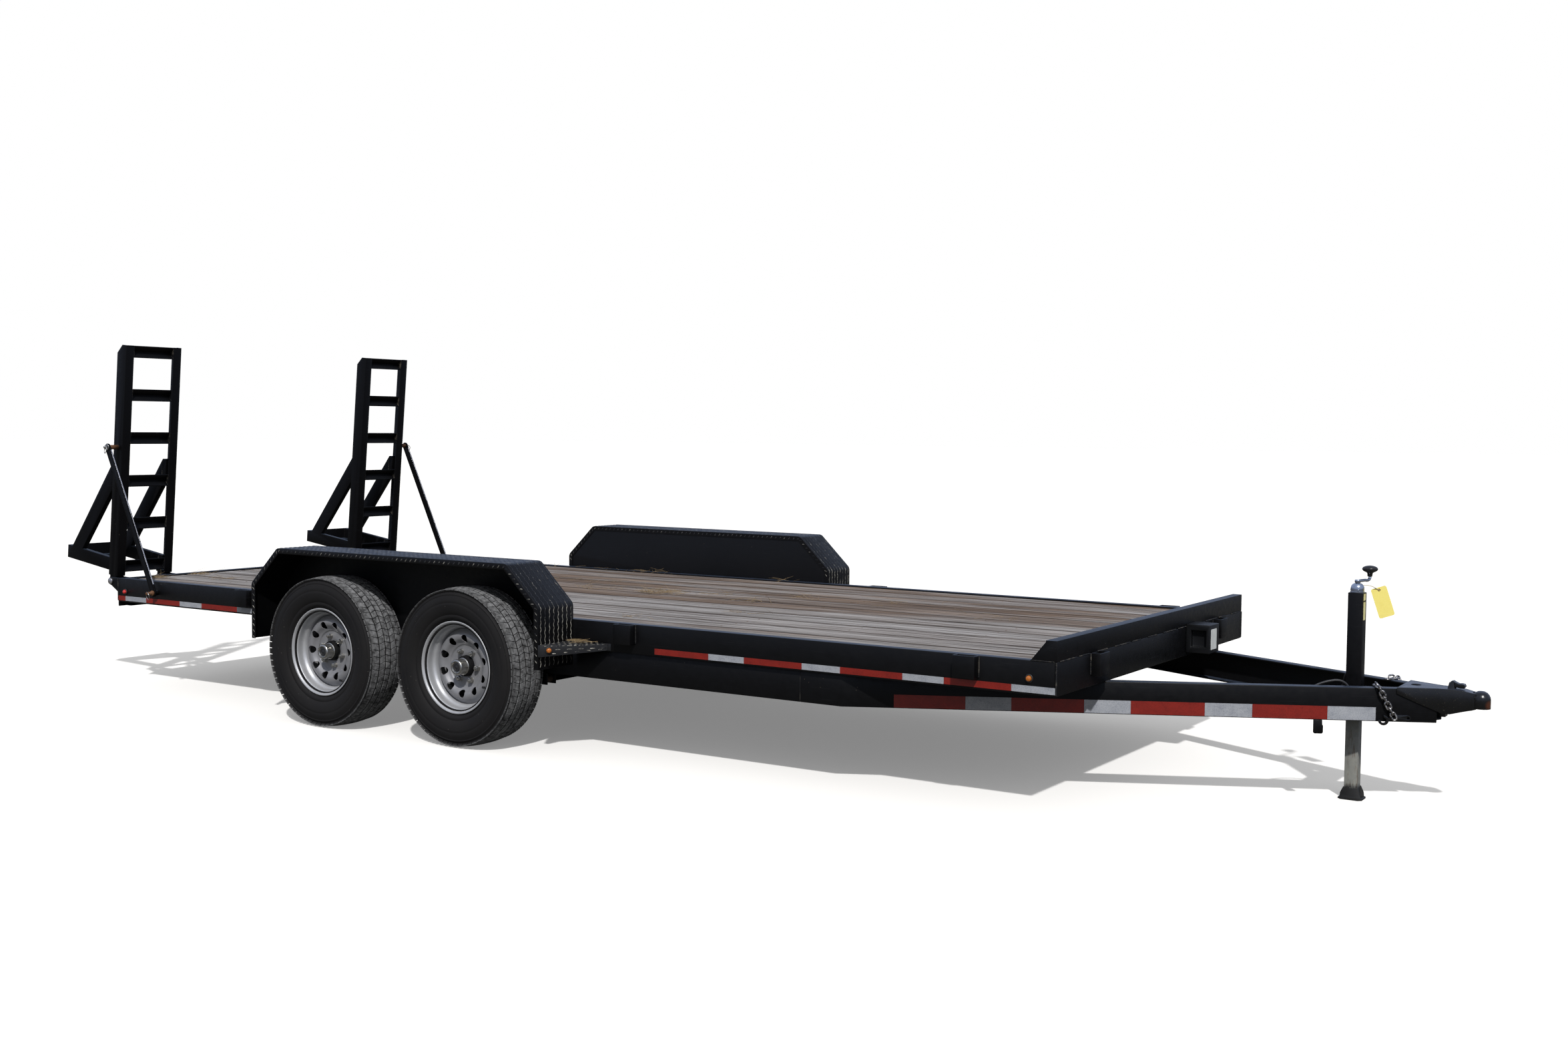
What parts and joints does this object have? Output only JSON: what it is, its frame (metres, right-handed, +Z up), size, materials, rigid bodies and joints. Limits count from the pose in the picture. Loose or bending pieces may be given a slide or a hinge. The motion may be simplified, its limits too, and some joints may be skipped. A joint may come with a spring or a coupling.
{
  "type": "equipment trailer",
  "caption": "Tandem-axle bumper-pull flat trailer with plank deck, boxy tread-plate fenders, stand-up rear ramps, A-frame tongue, coupler and crank jack",
  "frame": {"origin": "centre of the bounding box on the ground", "axes": "+X forwards to the coupler, +Y to the road side (left), +Z up"},
  "size_m": [7.2915, 2.592, 1.8509],
  "materials": {
    "black_paint": "semi-gloss black enamel, scratched and dusty",
    "deck_wood": "weathered grey-brown softwood planks",
    "tyre": "black rubber with a ribbed block tread",
    "wheel_silver": "silver painted steel disc wheel",
    "zinc_steel": "zinc-plated steel with light dirt",
    "spring_steel": "dark painted spring steel, road dirt",
    "cast_coupler": "black painted forged coupler, rusty nose",
    "black_plastic": "black moulded plastic",
    "cable_sheath": "grey-blue cable sheath",
    "amber_lens": "amber lens",
    "red_lens": "red lens",
    "tag_card": "yellow card tag"
  },
  "bodies": {
    "trailer": {"side_rail_left": "black_paint", "side_rail_right": "black_paint", "front_header": "black_paint", "rear_header": "black_paint", "front_stop": "black_paint", "main_beam_left": "black_paint", "main_beam_right": "black_paint", "tongue_rail_left": "black_paint", "tongue_rail_right": "black_paint", "tongue_crossbar": "black_paint", "crossmembers": "black_paint", "stake_pockets_left": "black_paint", "stake_pockets_right": "black_paint", "header_pockets": "black_paint", "deck_planks": "deck_wood", "fender_left": "black_paint", "fender_right": "black_paint", "fender_step_left": "black_paint", "fender_step_right": "black_paint", "axles": "black_paint", "leaf_springs": "spring_steel", "spring_hangers": "black_paint", "ramp_hinges": "black_paint", "jack_tube": "black_paint", "jack_head": "zinc_steel", "coupler": "cast_coupler", "safety_chains": "zinc_steel", "chain_hooks": "cast_coupler", "tongue_bracket": "black_paint", "battery_box": "black_plastic", "trailer_cable": "cable_sheath", "brake_cable": "cable_sheath", "amber_lamps": "amber_lens", "red_lamps": "red_lens", "jack_tag": "tag_card"},
    "wheelset_front_left": {"tyre_front_left": "tyre", "wheel_front_left": "wheel_silver"},
    "wheelset_front_right": {"tyre_front_right": "tyre", "wheel_front_right": "wheel_silver"},
    "wheelset_rear_left": {"tyre_rear_left": "tyre", "wheel_rear_left": "wheel_silver"},
    "wheelset_rear_right": {"tyre_rear_right": "tyre", "wheel_rear_right": "wheel_silver"},
    "ramp_left_body": {"ramp_left": "black_paint", "ramp_rungs_left": "black_paint", "ramp_stand_left": "black_paint"},
    "strut_left_body": {"strut_left": "black_paint"},
    "ramp_right_body": {"ramp_right": "black_paint", "ramp_rungs_right": "black_paint", "ramp_stand_right": "black_paint"},
    "strut_right_body": {"strut_right": "black_paint"},
    "jack_leg_body": {"jack_leg": "zinc_steel"},
    "crank_body": {"jack_crank": "black_plastic"},
    "latch_body": {"coupler_latch": "cast_coupler"}
  },
  "joints": [
    {"name": "wheel_front_left_spin", "type": "hinge", "parent": "trailer", "child": "wheelset_front_left", "pos_m": [-0.42381, 1.187, 0.357], "axis": [0, 1, 0], "continuous": true},
    {"name": "wheel_front_right_spin", "type": "hinge", "parent": "trailer", "child": "wheelset_front_right", "pos_m": [-0.42381, -1.187, 0.357], "axis": [0, 1, 0], "continuous": true},
    {"name": "wheel_rear_left_spin", "type": "hinge", "parent": "trailer", "child": "wheelset_rear_left", "pos_m": [-1.28781, 1.187, 0.357], "axis": [0, 1, 0], "continuous": true},
    {"name": "wheel_rear_right_spin", "type": "hinge", "parent": "trailer", "child": "wheelset_rear_right", "pos_m": [-1.28781, -1.187, 0.357], "axis": [0, 1, 0], "continuous": true},
    {"name": "ramp_left_hinge", "type": "hinge", "parent": "trailer", "child": "ramp_left_body", "pos_m": [-3.23081, 0.853, 0.566], "axis": [0, -1, 0], "range_deg": [0, 119]},
    {"name": "strut_left_pivot", "type": "hinge", "parent": "ramp_left_body", "child": "strut_left_body", "pos_m": [-3.16675, 1.09, 1.2982], "axis": [0, 1, 0], "range_deg": [0, 30]},
    {"name": "ramp_right_hinge", "type": "hinge", "parent": "trailer", "child": "ramp_right_body", "pos_m": [-3.23081, -0.853, 0.566], "axis": [0, -1, 0], "range_deg": [0, 119]},
    {"name": "strut_right_pivot", "type": "hinge", "parent": "ramp_right_body", "child": "strut_right_body", "pos_m": [-3.16675, -1.09, 1.2982], "axis": [0, 1, 0], "range_deg": [0, 30]},
    {"name": "jack_lift", "type": "slide", "parent": "trailer", "child": "jack_leg_body", "axis": [0, 0, 1], "range_m": [0, 0.25]},
    {"name": "jack_crank_turn", "type": "hinge", "parent": "trailer", "child": "crank_body", "pos_m": [3.14875, 0, 0.81], "axis": [0, 0, 1], "continuous": true},
    {"name": "coupler_latch_pivot", "type": "hinge", "parent": "trailer", "child": "latch_body", "pos_m": [3.50875, 0, 0.484], "axis": [0, -1, 0], "range_deg": [0, 70]}
  ]
}
